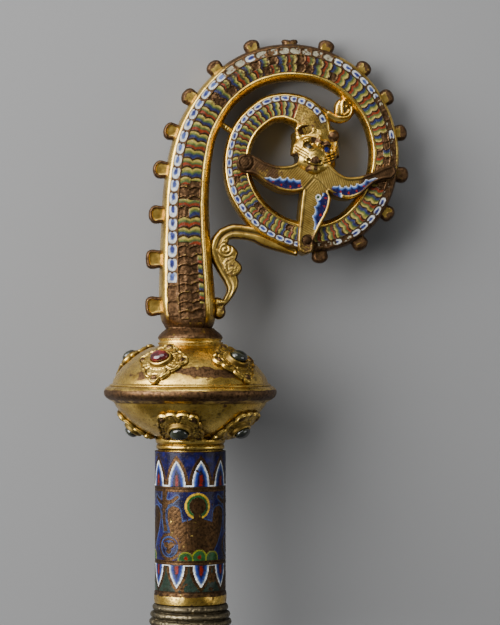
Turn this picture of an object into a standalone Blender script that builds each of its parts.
"""Crosier head: a serpent volute round a three-lobed leaf, on a gem-set knop and an enamelled staff socket.

The pieces are drawn upright: X to the right, Z up the staff, Y to the back, the staff's axis at X = Y = 0
and Z = 0 at the foot of the enamelled socket. An empty then lays them down, as a loose crosier head lies.
"""

import math

import bmesh
import bpy
import numpy as np
from mathutils import Euler, Matrix, Vector

MM = 0.001
GAP = 0.3 * MM
KNOP_STEPS = 30
TUBE_STEPS = 24

# Socket and ferrule
SOCKET_RADIUS = 17.8 * MM
SOCKET_BORE = 16.0 * MM
SOCKET_TOP = 76.3 * MM
FERRULE_RADIUS = 19.9 * MM
FERRULE_LENGTH = 22.0 * MM
FERRULE_RINGS = 6
RING_SWELL = 1.2 * MM

# Knop
KNOP_RADIUS = 43.3 * MM
BAND_SEAT = 40.6 * MM
BAND_TOP = 108.2 * MM
BAND_FOOT = 102.6 * MM
KNOP_TOP = 130.8 * MM
KNOP_FOOT = 76.6 * MM
DOME_TOP = 128.6 * MM
DOME_FOOT = 109.9 * MM
DOME_NECK = 17.6 * MM
DOME_RADIUS = 39.2 * MM
DOME_FULLNESS = 1.43
BOWL_TOP = 101.0 * MM
BOWL_FOOT = 83.8 * MM
BOWL_NECK = 18.2 * MM
BOWL_RADIUS = 38.4 * MM
BOWL_FULLNESS = 1.5

# Collar between the knop and the stem
COLLAR_RADIUS = 16.3 * MM
COLLAR_SWELL = 3.6 * MM
COLLAR_TOP = 137.1 * MM
COLLAR_FOOT = 131.1 * MM

# Serpent, in millimetres: the stem and the neck as (across, up, width), the coil as (angle, radius, width)
COIL_CENTRE = (53.5, 223.5)
STEM = (
    (-1.0, 137.6, 22.4),
    (-1.0, 142.0, 26.0),
    (-1.6, 152.0, 27.2),
    (-2.2, 170.0, 25.6),
    (-2.5, 188.0, 23.6),
    (-2.2, 205.0, 22.4),
)
COIL = (
    (180, 53.5, 21.1),
    (162, 51.2, 19.4),
    (140, 49.9, 18.2),
    (118, 49.1, 18.2),
    (96, 47.9, 18.0),
    (74, 46.9, 17.2),
    (52, 45.9, 16.4),
    (30, 44.9, 15.2),
    (8, 44.2, 14.8),
    (-14, 43.8, 15.1),
    (-36, 43.8, 15.7),
    (-58, 43.3, 15.2),
    (-80, 41.0, 14.6),
    (-102, 37.7, 14.2),
    (-124, 35.0, 14.3),
    (-146, 32.8, 14.2),
    (-168, 31.0, 13.5),
    (-190, 29.8, 13.1),
    (-212, 28.9, 13.4),
    (-236, 27.8, 13.8),
    (-252, 26.3, 14.4),
)
NECK = ((50.3, 248.0, 15.4), (56.2, 245.8, 16.4), (60.8, 241.4, 17.0), (63.0, 236.0, 16.0))
SERPENT_RINGS = 88
SERPENT_DEPTH = 0.95
OVAL_FOOT = 7.0 * MM

# Crockets: distance along the serpent from its foot, in millimetres
CROCKETS = (12, 35, 57, 78, 95.5, 112, 128, 145.4, 161.3)
CROCKETS += (176.7, 194.4, 209.7, 225.6, 243.3, 260.5, 277, 293.6)
LOW_CROCKETS = 7
BROKEN_CROCKET = 8
CROCKET_DEPTH = 7.4 * MM
CROCKET_REACH = (6.7 * MM, 5.3 * MM)
CROCKET_HALF_WIDTH = (4.2 * MM, 3.7 * MM)

# Head, facing front and again, turned half round, facing back
HEAD_X = 61.5 * MM
HEAD_HEIGHT = 229.0 * MM
HEAD_ROLL = math.radians(10)
HEAD_YAW = math.radians(9)
HEAD_VOXEL = 1.25 * MM
HEAD_FACES = 600

# Leaf, brace and pin
LEAF_X = 60.0 * MM
LEAF_HEIGHT = 213.5 * MM
LEAF_DEPTH = 21.0 * MM
BRACE_DEPTH = 9.0 * MM
PIN_RADIUS = 1.5 * MM

# Gem mounts: plates on the knop's skin, each with a collet and a stone
PLATE_REACH = 13.2 * MM
PLATE_THICKNESS = 1.1 * MM
PLATE_LIFT = 0.6 * MM
PLATE_SIDES = 16
STONE_SIDES = 12
COLLET_HEIGHT = 2.1 * MM
COLLET_WALL = 1.1 * MM
STONE_HALF_LENGTH = 4.7 * MM
STONE_HALF_WIDTH = 3.7 * MM
STONE_RISE = 2.3 * MM
UPPER_SPOT = 0.50
LOWER_SPOT = 0.52
UPPER_TURNS = (-29, 43, 143, 243)
LOWER_TURNS = (-15, 57, 160, 256)

# Lying down: the volute droops until it touches the ground, and both contacts are worn slightly flat
DROOP = math.radians(11.6)
FLAT_SPOT = 0.35 * MM


# ---------------------------------------------------------------- objects, materials and modifiers


def clear_scene():
    for old in list(bpy.data.objects):
        bpy.data.objects.remove(old, do_unlink=True)


def new_collection(name):
    made = bpy.data.collections.new(name)
    bpy.context.scene.collection.children.link(made)
    return made


def metal(name, colour, roughness, metallic=1.0):
    made = bpy.data.materials.new(name)
    made.use_nodes = True
    shader = made.node_tree.nodes["Principled BSDF"]
    shader.inputs["Base Color"].default_value = (*colour, 1.0)
    shader.inputs["Roughness"].default_value = roughness
    shader.inputs["Metallic"].default_value = metallic
    made.diffuse_color = (*colour, 1.0)
    return made


def add_piece(name, data, material, place=None):
    """A named sub-part of the crosier, carried by the empty that lays it down."""
    made = bpy.data.objects.new(name, data)
    pieces.objects.link(made)
    data.materials.clear()
    data.materials.append(material)
    made.parent = lying
    made.matrix_local = place or Matrix.Identity(4)
    return made


def add_cutter(name, data, place=None):
    made = bpy.data.objects.new(name, data)
    cutters.objects.link(made)
    made.parent = lying
    made.matrix_local = place or Matrix.Identity(4)
    made.hide_render = True
    made.display_type = "WIRE"
    return made


def boolean(piece, operation, other):
    made = piece.modifiers.new(f"{operation.lower()}_{other.name}", "BOOLEAN")
    made.operation = operation
    made.solver = "EXACT"
    made.object = other


def evaluated_mesh(obj):
    """The object's shape with its modifiers applied, and a curve's caps joined to its sides."""
    bpy.context.view_layer.update()
    graph = bpy.context.evaluated_depsgraph_get()
    made = bpy.data.meshes.new_from_object(obj.evaluated_get(graph))
    shape = bmesh.new()
    shape.from_mesh(made)
    bmesh.ops.remove_doubles(shape, verts=shape.verts, dist=0.00001)
    shape.to_mesh(made)
    shape.free()
    return made


def drop(obj):
    bpy.data.objects.remove(obj, do_unlink=True)


def shade(piece, degrees=35):
    piece.data.shade_smooth()
    piece.data.set_sharp_from_angle(angle=math.radians(degrees))


# ---------------------------------------------------------------- shapes


def through(stations, steps):
    """A smooth Catmull-Rom run through these stations, with this many steps between two of them."""
    known = np.array(stations, dtype=float)
    known = np.vstack([2 * known[0] - known[1], known, 2 * known[-1] - known[-2]])
    found = []
    for before, here, after, beyond in zip(known[:-3], known[1:-2], known[2:-1], known[3:]):
        for step in range(steps):
            t = step / steps
            bend = (before * -1 + 3 * here - 3 * after + beyond) * t**3
            bend += (2 * before - 5 * here + 4 * after - beyond) * t**2
            found.append(0.5 * (2 * here + (after - before) * t + bend))
    found.append(known[-2])
    return np.array(found)


def outline(*runs, steps=1):
    """One closed outline, in metres, from smooth runs in millimetres that meet at its corners."""
    points = []
    for run in runs:
        points.extend(through(run, steps)[:-1] * MM)
    return points


def plate(points, depth):
    """A flat outline drawn in X and Z, thickened evenly to the front and the back."""
    curve = bpy.data.curves.new("outline", "CURVE")
    curve.dimensions = "2D"
    curve.fill_mode = "BOTH"
    curve.extrude = depth / 2
    spline = curve.splines.new("POLY")
    spline.points.add(len(points) - 1)
    for spot, point in zip(spline.points, points):
        spot.co = (point[0], point[1], 0.0, 1.0)
    spline.use_cyclic_u = True
    upright = bpy.data.objects.new("outline", curve)
    pieces.objects.link(upright)
    made = evaluated_mesh(upright)
    drop(upright)
    made.transform(Matrix.Rotation(math.radians(90), 4, "X"))
    return made


def rod(points, radii, sides=2):
    """A round rod through these points, with a radius at each."""
    curve = bpy.data.curves.new("rod", "CURVE")
    curve.dimensions = "3D"
    curve.bevel_depth = 1.0
    curve.bevel_resolution = sides
    curve.use_fill_caps = True
    spline = curve.splines.new("POLY")
    spline.points.add(len(points) - 1)
    for spot, point, radius in zip(spline.points, points, radii):
        spot.co = (*point, 1.0)
        spot.radius = radius
    rail = bpy.data.objects.new("rod", curve)
    pieces.objects.link(rail)
    made = evaluated_mesh(rail)
    drop(rail)
    return made


def turned(profile, steps, hollow=False):
    """A shape turned round the staff's axis from its outer side, top to bottom."""
    made = bpy.data.meshes.new("profile")
    edges = [(i, i + 1) for i in range(len(profile) - 1)]
    if hollow:
        edges.append((len(profile) - 1, 0))
    made.from_pydata([(radius, 0.0, height) for radius, height in profile], edges, [])
    lathe = bpy.data.objects.new("profile", made)
    pieces.objects.link(lathe)
    screw = lathe.modifiers.new("turn", "SCREW")
    screw.axis = "Z"
    screw.angle = math.tau
    screw.steps = steps
    screw.render_steps = steps
    screw.use_merge_vertices = True
    screw.merge_threshold = 0.00002
    shape = evaluated_mesh(lathe)
    drop(lathe)
    return shape


def half_round(top, foot, seat, swell, steps=6):
    """A half-round moulding: from (seat, top) out by swell and back to (seat, foot)."""
    turns = np.linspace(0, math.pi, steps + 1)
    middle, half = (top + foot) / 2, (top - foot) / 2
    return [(seat + swell * math.sin(a), middle + half * math.cos(a)) for a in turns]


def ball(centre, radii, turn=None):
    """An ellipsoid as a bmesh, in the space of the piece that it belongs to."""
    shape = bmesh.new()
    place = Matrix.Translation(centre) @ (turn or Matrix.Identity(4)) @ Matrix.Diagonal((*radii, 1.0))
    bmesh.ops.create_uvsphere(shape, u_segments=14, v_segments=9, radius=1.0, matrix=place)
    return shape


def joined(shapes, name):
    """Several bmeshes as one mesh of separate bodies."""
    whole = bmesh.new()
    for shape in shapes:
        part = bpy.data.meshes.new("part")
        shape.to_mesh(part)
        shape.free()
        whole.from_mesh(part)
        bpy.data.meshes.remove(part)
    made = bpy.data.meshes.new(name)
    whole.to_mesh(made)
    whole.free()
    return made


# ---------------------------------------------------------------- serpent


def serpent_line():
    """Even (across, up, width) stations from the foot into the head, and how far along each is, in metres."""
    coil = []
    for degrees, radius, width in COIL:
        angle = math.radians(degrees)
        across = COIL_CENTRE[0] + radius * math.cos(angle)
        coil.append((across, COIL_CENTRE[1] + radius * math.sin(angle), width))
    line = through((*STEM, *coil, *NECK), 8) * MM
    passed = np.concatenate([[0.0], np.cumsum(np.hypot(*np.diff(line[:, :2], axis=0).T))])
    even = np.linspace(0, passed[-1], SERPENT_RINGS)
    return np.array([np.interp(even, passed, column) for column in line.T]).T, even


def serpent_frames():
    """For each ring: its centre, the direction of the serpent's back, its width and its distance along."""
    line, passed = serpent_line()
    along = np.gradient(line[:, :2], axis=0)
    along /= np.linalg.norm(along, axis=1)[:, None]
    dorsal = np.stack([-along[:, 1], along[:, 0]], axis=1)
    return line[:, :2], dorsal, line[:, 2], passed


def serpent_section(width, flatness, grown=0.0, back=0.0):
    """(towards the serpent's back, depth) round its section; flatness 0 is an oval, 1 the bevelled body."""
    deep = width * SERPENT_DEPTH
    bevelled = [(0.5, 0.2), (0.37, 0.44), (0.02, 0.5), (-0.33, 0.45), (-0.5, 0.22)]
    oval = [(0.5, 0.14), (0.37, 0.35), (0.02, 0.48), (-0.33, 0.37), (-0.5, 0.14)]
    side = [
        (width * (flatness * b[0] + (1 - flatness) * o[0]), deep * (flatness * b[1] + (1 - flatness) * o[1]))
        for b, o in zip(bevelled, oval)
    ]
    side = [(across + math.copysign(grown, across), depth + grown) for across, depth in side]
    side = [(across + (back if across > 0.25 * width else 0.0), depth) for across, depth in side]
    return side + [(across, -depth) for across, depth in reversed(side)]


def serpent_body(grown=0.0, back=0.0):
    """The flat-sided body of the serpent, lofted from its oval foot to the neck."""
    shape = bmesh.new()
    rings = []
    for centre, dorsal, width, passed in zip(*serpent_frames()):
        flatness = min(1.0, passed / OVAL_FOOT)
        ring = []
        for across, depth in serpent_section(width, flatness, grown, back):
            spot = centre + dorsal * across
            ring.append(shape.verts.new((spot[0], -depth, spot[1])))
        rings.append(ring)
    for lower, upper in zip(rings, rings[1:]):
        for i in range(len(lower)):
            j = (i + 1) % len(lower)
            shape.faces.new((lower[i], lower[j], upper[j], upper[i]))
    shape.faces.new(list(reversed(rings[0])))
    shape.faces.new(rings[-1])
    bmesh.ops.recalc_face_normals(shape, faces=shape.faces)
    return shape


def crocket_row():
    """The round-ended knobs along the serpent's back; one is broken off short."""
    centres, dorsals, widths, passed = serpent_frames()
    shapes = []
    for number, distance in enumerate(CROCKETS):
        spot = np.array([np.interp(distance * MM, passed, centres[:, k]) for k in (0, 1)])
        out = np.array([np.interp(distance * MM, passed, dorsals[:, k]) for k in (0, 1)])
        out /= np.linalg.norm(out)
        width = np.interp(distance * MM, passed, widths)
        share = min(1.0, number / LOW_CROCKETS)
        half = CROCKET_HALF_WIDTH[0] + (CROCKET_HALF_WIDTH[1] - CROCKET_HALF_WIDTH[0]) * share
        reach = CROCKET_REACH[0] + (CROCKET_REACH[1] - CROCKET_REACH[0]) * share
        tip = 0.35 if number == BROKEN_CROCKET else 1.0
        bulge = [(-0.16, -0.75), (0.25, -0.8), (0.45, -1.0), (0.8, -0.9), (1.0, -0.35)]
        side = [(width / 2 + reach * min(far, tip), half * wide) for far, wide in bulge if far < tip + 0.3]
        ring = side + [(far, -wide) for far, wide in reversed(side)]
        along = np.array([out[1], -out[0]])
        points = [spot + out * far + along * wide for far, wide in ring]
        knob = bmesh.new()
        knob.from_mesh(plate(points, CROCKET_DEPTH))
        shapes.append(knob)
    return joined(shapes, "crocket_row")


def head_mass(grown=0.0):
    """Both faces of the beast and the curled tendril behind its ears, fused and thinned out."""
    lumps = (
        ((-0.3, 1.5, 0.0), (11.3, 12.6, 9.6)),
        ((-6.2, -3.5, 3.6), (5.2, 5.4, 6.2)),
        ((6.2, -3.5, 3.6), (5.2, 5.4, 6.2)),
        ((0.0, -7.6, 7.6), (5.6, 4.4, 5.6)),
        ((0.0, -11.8, 7.8), (4.4, 3.0, 4.9)),
        ((0.0, -1.5, 9.2), (2.2, 6.0, 3.4)),
        ((-4.6, 2.6, 8.4), (3.6, 2.2, 3.0)),
        ((4.6, 2.6, 8.4), (3.6, 2.2, 3.0)),
        ((-7.2, 8.4, 5.6), (3.5, 3.1, 2.4)),
        ((7.2, 8.4, 5.6), (3.5, 3.1, 2.4)),
    )
    shapes = []
    for about in (0.0, math.pi):
        facing = Matrix.Translation((HEAD_X, 0.0, HEAD_HEIGHT)) @ Matrix.Rotation(about, 4, "Z")
        facing = facing @ Matrix.Rotation(HEAD_ROLL, 4, "Y") @ Matrix.Rotation(HEAD_YAW, 4, "Z")
        for (right, up, forward), radii in lumps:
            centre = facing @ (Vector((right, -forward, up)) * MM)
            size = [(radius * MM + grown) for radius in (radii[0], radii[2], radii[1])]
            shapes.append(ball(centre, size, facing.to_3x3().to_4x4()))
    made = bpy.data.objects.new("head_mass", joined(shapes, "head_mass"))
    cutters.objects.link(made)
    fused = made.modifiers.new("fuse", "REMESH")
    fused.mode = "VOXEL"
    fused.voxel_size = HEAD_VOXEL
    calm = made.modifiers.new("calm", "SMOOTH")
    calm.factor = 0.5
    calm.iterations = 2
    made.data = evaluated_mesh(made)
    made.modifiers.clear()
    thin = made.modifiers.new("thin", "DECIMATE")
    thin.ratio = min(1.0, HEAD_FACES / (2 * len(made.data.polygons)))
    shape = evaluated_mesh(made)
    drop(made)
    return shape


def tendril():
    """The rod that leaves the neck and curls up against the coil, and the fan-shaped eye of its curl."""
    stations = ((57.0, 249.5), (63.5, 248.0), (69.0, 245.2), (74.0, 242.9), (78.5, 243.6), (81.4, 247.2))
    run = through(stations, 4)
    radii = np.interp(np.arange(len(run)), (0, len(run) - 1), (2.6 * MM, 1.9 * MM))
    stalk = bmesh.new()
    stalk.from_mesh(rod([(x * MM, 0.0, z * MM) for x, z in run], radii))
    fan = ball((77.3 * MM, 0.0, 248.3 * MM), (5.5 * MM, 3.4 * MM, 5.2 * MM))
    return stalk, fan


def make_serpent():
    body = bpy.data.meshes.new("serpent_volute")
    shape = serpent_body()
    shape.to_mesh(body)
    shape.free()
    serpent = add_piece("serpent_volute", body, gilt)
    boolean(serpent, "UNION", add_cutter("crocket_row", crocket_row()))
    boolean(serpent, "UNION", add_cutter("beast_head", head_mass()))
    stalk, fan = tendril()
    boolean(serpent, "UNION", add_cutter("tendril_stalk", joined([stalk], "tendril_stalk")))
    boolean(serpent, "UNION", add_cutter("tendril_fan", joined([fan], "tendril_fan")))


# ---------------------------------------------------------------- leaf, brace and pin


def make_leaf(serpent_cutter, head_cutter):
    left_top = ((-6.0, 7.4), (-10.5, 5.2), (-17.0, 5.0), (-23.0, 6.8))
    left_tip = ((-23.0, 6.8), (-28.0, 9.7), (-32.4, 11.0), (-35.8, 10.0))
    left_low = ((-35.8, 10.0), (-37.4, 6.4), (-35.6, 2.4), (-31.8, 1.4), (-28.0, 0.6), (-22.0, -4.0))
    left_foot = ((-22.0, -4.0), (-15.8, -7.1), (-9.5, -8.1), (-4.2, -7.1))
    stalk_left = ((-4.2, -7.1), (-5.0, -13.0), (-6.0, -23.0), (-6.7, -31.0), (-6.2, -36.6), (-3.0, -39.0))
    stalk_foot = ((-3.0, -39.0), (0.6, -37.4), (0.9, -32.6))
    stalk_right = ((0.9, -32.6), (4.6, -24.8), (8.4, -17.4), (9.8, -11.6), (8.8, -7.6))
    right_foot = ((8.8, -7.6), (13.5, -10.2), (19.4, -11.0), (25.4, -8.8))
    right_low = ((25.4, -8.8), (31.0, -3.8), (35.6, -1.6), (40.2, -1.0))
    right_tip = ((40.2, -1.0), (42.6, 2.0), (41.2, 5.6), (37.0, 4.8), (31.0, 2.1), (24.0, -0.2))
    right_top = ((24.0, -0.2), (18.0, -0.4), (13.2, 2.0), (9.6, 5.6), (6.4, 9.4))
    under_head = ((6.4, 9.4), (-6.0, 7.4))
    left = (left_top, left_tip, left_low, left_foot)
    right = (right_foot, right_low, right_tip, right_top)
    points = outline(*left, stalk_left, stalk_foot, stalk_right, *right, under_head)
    place = Matrix.Translation((LEAF_X, 0.0, LEAF_HEIGHT))
    leaf = add_piece("trefoil_leaf", plate(points, LEAF_DEPTH), worn_gilt, place)
    boolean(leaf, "DIFFERENCE", serpent_cutter)
    boolean(leaf, "DIFFERENCE", head_cutter)


def make_brace(serpent_cutter):
    arm = ((53.5, 178.0), (45.0, 184.0), (37.0, 187.6), (28.2, 189.1), (21.0, 189.6), (14.6, 187.2))
    bend = ((14.6, 187.2), (11.0, 182.6), (9.8, 177.4), (11.0, 171.8), (13.8, 166.2), (17.0, 161.0))
    neck = ((17.0, 161.0), (18.5, 156.6), (16.4, 151.8))
    calyx = ((16.4, 151.8), (13.0, 152.8), (11.2, 150.6), (12.0, 147.4), (11.6, 144.8))
    knob = ((11.6, 144.8), (13.0, 142.7), (15.6, 142.8), (17.2, 145.0), (16.9, 148.6))
    tail = ((16.9, 148.6), (20.2, 152.4), (23.0, 157.0), (23.8, 161.0), (23.2, 163.8))
    low_lobe = ((23.2, 163.8), (25.2, 166.2), (25.3, 169.0), (22.6, 172.0))
    high_lobe = ((22.6, 172.0), (23.6, 175.4), (21.4, 178.4), (18.4, 179.6))
    underside = ((18.4, 179.6), (19.6, 182.4), (24.7, 182.7), (31.0, 181.6), (38.0, 178.4), (53.5, 174.2))
    root = ((53.5, 174.2), (53.5, 178.0))
    runs = (arm, bend, neck, calyx, knob, tail, low_lobe, high_lobe, underside, root)
    brace = add_piece("foliate_brace", plate(outline(*runs, steps=2), BRACE_DEPTH), gilt)
    boolean(brace, "DIFFERENCE", serpent_cutter)


def make_pin(serpent_cutter):
    ends = ((11.0, 0.0, 243.4), (26.0, 0.0, 232.6))
    points = [tuple(value * MM for value in end) for end in ends]
    pin = add_piece("tie_pin", rod(points, (PIN_RADIUS, PIN_RADIUS)), worn_gilt)
    boolean(pin, "DIFFERENCE", serpent_cutter)


# ---------------------------------------------------------------- collar, knop, socket and ferrule


def dome_line(top, foot, inner, outer, fullness, steps=5):
    """The knop's meridian from (inner, top) to (outer, foot): an ellipse at fullness 1, a cone at 2."""
    turns = np.linspace(0, math.pi / 2, steps + 1)
    return [
        (inner + (outer - inner) * math.sin(a) ** fullness, foot + (top - foot) * math.cos(a) ** fullness)
        for a in turns
    ]


def make_collar():
    seat = COLLAR_RADIUS - COLLAR_SWELL
    profile = [(0.0, COLLAR_TOP), (seat - 1.0 * MM, COLLAR_TOP)]
    profile += half_round(COLLAR_TOP - 0.6 * MM, COLLAR_FOOT, seat, COLLAR_SWELL, 4)[1:-1]
    profile += [(COLLAR_RADIUS - 0.9 * MM, COLLAR_FOOT), (0.0, COLLAR_FOOT)]
    add_piece("stem_collar", turned(profile, TUBE_STEPS), brown)


UPPER_DOME = dome_line(DOME_TOP, DOME_FOOT, DOME_NECK, DOME_RADIUS, DOME_FULLNESS)
LOWER_BOWL = list(reversed(dome_line(BOWL_FOOT, BOWL_TOP, BOWL_NECK, BOWL_RADIUS, BOWL_FULLNESS)))


def make_knop():
    """A domed upper half with a short ringed neck, a half-round band, and a bowl on two small mouldings."""
    neck = [(0.0, KNOP_TOP), (DOME_NECK - 1.6 * MM, KNOP_TOP), (DOME_NECK - 1.1 * MM, KNOP_TOP - 0.8 * MM)]
    neck += [(DOME_NECK - 1.8 * MM, KNOP_TOP - 1.4 * MM), (DOME_NECK - 1.3 * MM, DOME_TOP + 0.3 * MM)]
    rim = [(BAND_SEAT + 0.8 * MM, DOME_FOOT - 0.3 * MM), (BAND_SEAT + 1.2 * MM, BAND_TOP + GAP)]
    rim += [(0.0, BAND_TOP + GAP)]
    add_piece("knop_upper", turned(neck + UPPER_DOME + rim, KNOP_STEPS), gilt)
    belt = [(0.0, BAND_TOP), (BAND_SEAT, BAND_TOP)]
    belt += half_round(BAND_TOP, BAND_FOOT, BAND_SEAT, KNOP_RADIUS - BAND_SEAT)[1:-1]
    belt += [(BAND_SEAT, BAND_FOOT), (0.0, BAND_FOOT)]
    add_piece("knop_band", turned(belt, KNOP_STEPS + 6), brown)
    lip = [(0.0, BAND_FOOT - GAP), (BAND_SEAT - 1.2 * MM, BAND_FOOT - GAP)]
    lip += [(BAND_SEAT - 1.0 * MM, BOWL_TOP + 0.4 * MM)]
    foot = half_round(BOWL_FOOT - 0.4 * MM, BOWL_FOOT - 3.8 * MM, BOWL_NECK - 1.6 * MM, 0.9 * MM, 3)
    foot += half_round(BOWL_FOOT - 4.2 * MM, KNOP_FOOT + 0.3 * MM, BOWL_NECK - 2.0 * MM, 0.9 * MM, 3)
    foot += [(BOWL_NECK - 2.0 * MM, KNOP_FOOT), (0.0, KNOP_FOOT)]
    add_piece("knop_lower", turned(lip + LOWER_BOWL + foot, KNOP_STEPS), gilt)


def make_socket():
    """A thin-walled tube with a slightly thicker border at its foot."""
    border = SOCKET_RADIUS + 0.3 * MM
    profile = [(SOCKET_RADIUS, SOCKET_TOP), (SOCKET_RADIUS, 6.6 * MM), (border, 6.2 * MM), (border, GAP)]
    profile += [(SOCKET_BORE, GAP), (SOCKET_BORE, SOCKET_TOP)]
    add_piece("socket_tube", turned(profile, TUBE_STEPS, hollow=True), enamel)


def make_ferrule():
    """A ringed sleeve that widens downwards, cut square at its end."""
    pitch = FERRULE_LENGTH / FERRULE_RINGS
    profile = [(SOCKET_RADIUS, 0.0)]
    for ring in range(FERRULE_RINGS):
        seat = SOCKET_RADIUS + (FERRULE_RADIUS - SOCKET_RADIUS) * min(1.0, (ring + 0.4) / 2)
        profile.append((seat - RING_SWELL / 2 + RING_SWELL, -(ring + 0.5) * pitch))
        profile.append((seat - RING_SWELL / 2, -(ring + 1) * pitch))
    profile += [(SOCKET_BORE, -FERRULE_LENGTH), (SOCKET_BORE, 0.0)]
    add_piece("ferrule", turned(profile, TUBE_STEPS, hollow=True), dark_bronze)


# ---------------------------------------------------------------- gem mounts


def on_skin(line, share, turn, across, up, lift):
    """A point of a mount wrapped onto the knop: across and up the skin from its middle, lifted off it."""
    line = np.array(line)
    passed = np.concatenate([[0.0], np.cumsum(np.hypot(*np.diff(line, axis=0).T))])
    along = np.gradient(line, axis=0)
    along /= np.linalg.norm(along, axis=1)[:, None]
    at = share * passed[-1] - up
    middle = np.array([np.interp(at, passed, line[:, k]) for k in (0, 1)])
    slope = np.array([np.interp(at, passed, along[:, k]) for k in (0, 1)])
    slope /= np.linalg.norm(slope)
    middle += slope * (at - min(max(at, 0.0), passed[-1]))
    radius, height = middle + np.array([-slope[1], slope[0]]) * lift
    angle = turn + across / middle[0]
    return (radius * math.sin(angle), -radius * math.cos(angle), height)


def leafy_ring(corner):
    """The edge of a four-lobed plate, its lobes turned from upright by this angle."""
    ring = []
    for step in range(PLATE_SIDES):
        angle = math.tau * step / PLATE_SIDES
        lobe = abs(math.cos(2 * (angle - corner)))
        reach = PLATE_REACH * (0.68 + 0.32 * lobe**1.3)
        ring.append((reach * math.cos(angle), reach * math.sin(angle)))
    return ring


def oval_ring(margin, scale=1.0, sides=PLATE_SIDES):
    """An oval round the stone, this far outside its edge."""
    turns = [math.tau * step / sides for step in range(sides)]
    length, width = STONE_HALF_LENGTH + margin, STONE_HALF_WIDTH + margin
    return [(length * scale * math.cos(a), width * scale * math.sin(a)) for a in turns]


def built_up(line, share, turn, layers):
    """A closed body wrapped onto the knop's skin, from its rings and their lifts, underside first."""
    shape = bmesh.new()
    rings = [
        [shape.verts.new(on_skin(line, share, turn, x, y, lift)) for x, y in ring] for ring, lift in layers
    ]
    for lower, upper in zip(rings, rings[1:]):
        for i, corner in enumerate(lower):
            shape.faces.new((lower[i - 1], corner, upper[i], upper[i - 1]))
    for ring, lift in ((rings[0], layers[0][1]), (rings[-1], layers[-1][1])):
        middle = shape.verts.new(on_skin(line, share, turn, 0.0, 0.0, lift))
        for i, corner in enumerate(ring):
            shape.faces.new((ring[i - 1], corner, middle))
    bmesh.ops.recalc_face_normals(shape, faces=shape.faces)
    return joined([shape], "built_up")


def mount_mesh(line, share, turn, corner):
    """A leafy plate, drawn up in its middle into an oval cup for the stone."""
    top = PLATE_LIFT + PLATE_THICKNESS
    edge = leafy_ring(corner)
    layers = (
        ([(x * 0.5, y * 0.5) for x, y in edge], PLATE_LIFT),
        (edge, PLATE_LIFT),
        (edge, top),
        (oval_ring(COLLET_WALL * 1.5), top),
        (oval_ring(COLLET_WALL), top + COLLET_HEIGHT),
        (oval_ring(GAP), top + COLLET_HEIGHT),
        (oval_ring(GAP), top + COLLET_HEIGHT * 0.3),
    )
    return built_up(line, share, turn, layers)


def stone_mesh(line, share, turn):
    """A cabochon: a flat-based oval dome that sits in the mount's cup."""
    base = PLATE_LIFT + PLATE_THICKNESS + COLLET_HEIGHT * 0.3 + GAP
    layers = [(oval_ring(0.0, 1.0, STONE_SIDES), base)]
    for degrees in (0, 32, 64):
        angle = math.radians(degrees)
        rise = STONE_RISE * (0.7 + math.sin(angle))
        layers.append((oval_ring(0.0, math.cos(angle), STONE_SIDES), base + rise))
    return built_up(line, share, turn, layers)


def make_gems():
    upper = ("upper", UPPER_DOME, UPPER_SPOT, UPPER_TURNS, 0.0)
    lower = ("lower", LOWER_BOWL, LOWER_SPOT, LOWER_TURNS, math.pi / 4)
    for row, line, share, turns, corner in (upper, lower):
        for number, degrees in enumerate(turns, 1):
            turn = math.radians(degrees)
            add_piece(f"{row}_mount_{number}", mount_mesh(line, share, turn, corner), gilt)
            stone = garnet if (row, number) == ("upper", 1) else dark_stone
            add_piece(f"{row}_stone_{number}", stone_mesh(line, share, turn), stone)


# ---------------------------------------------------------------- lying on the ground


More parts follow.
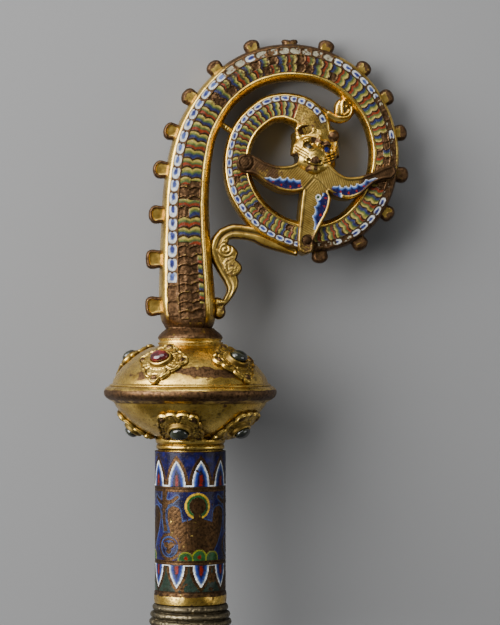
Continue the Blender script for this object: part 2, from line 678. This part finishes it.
def lowest_and_highest():
    graph = bpy.context.evaluated_depsgraph_get()
    corners = []
    for piece in pieces.objects:
        if piece.type == "MESH":
            there = piece.evaluated_get(graph)
            corners.extend(there.matrix_world @ vert.co for vert in there.data.vertices)
    return [Vector(f(corner[k] for corner in corners) for k in range(3)) for f in (min, max)]


def lay_down():
    """Tips the crosier onto its back, centred over the origin, with its flat spots on the ground."""
    lying.rotation_euler = Euler((-math.pi / 2 - DROOP, 0.0, 0.0))
    bpy.context.view_layer.update()
    low, high = lowest_and_highest()
    lying.location = (-(low.x + high.x) / 2, -(low.y + high.y) / 2, -low.z - FLAT_SPOT)
    slab = bmesh.new()
    bmesh.ops.create_cube(slab, size=1.0, matrix=Matrix.Translation((0.0, 0.0, -0.5)))
    ground = add_cutter("ground", joined([slab], "ground"))
    bpy.context.view_layer.update()
    ground.matrix_world = Matrix.Identity(4)
    for name in ("serpent_volute", "knop_band"):
        boolean(bpy.data.objects[name], "DIFFERENCE", ground)


clear_scene()
pieces = new_collection("crosier_head")
cutters = new_collection("cutters")
lying = bpy.data.objects.new("lying", None)
pieces.objects.link(lying)

gilt = metal("gilt_copper", (0.83, 0.58, 0.22), 0.28)
worn_gilt = metal("worn_gilt", (0.62, 0.42, 0.18), 0.38)
brown = metal("bare_copper", (0.30, 0.18, 0.11), 0.45)
dark_bronze = metal("dark_bronze", (0.17, 0.14, 0.11), 0.55)
enamel = metal("enamel", (0.05, 0.10, 0.32), 0.25, 0.0)
garnet = metal("red_stone", (0.35, 0.03, 0.05), 0.12, 0.0)
dark_stone = metal("dark_stone", (0.03, 0.05, 0.05), 0.12, 0.0)

make_serpent()
clear_of_serpent = add_cutter("clear_of_serpent", joined([serpent_body(GAP, back=CROCKET_REACH[0])], "clear"))
near_serpent = add_cutter("near_serpent", joined([serpent_body(GAP)], "near"))
clear_of_head = add_cutter("clear_of_head", head_mass(grown=GAP * 1.6))
make_leaf(clear_of_serpent, clear_of_head)
make_brace(near_serpent)
make_pin(near_serpent)
make_collar()
make_knop()
make_socket()
make_ferrule()
make_gems()
lay_down()

for piece in pieces.objects:
    if piece.type == "MESH":
        shade(piece)
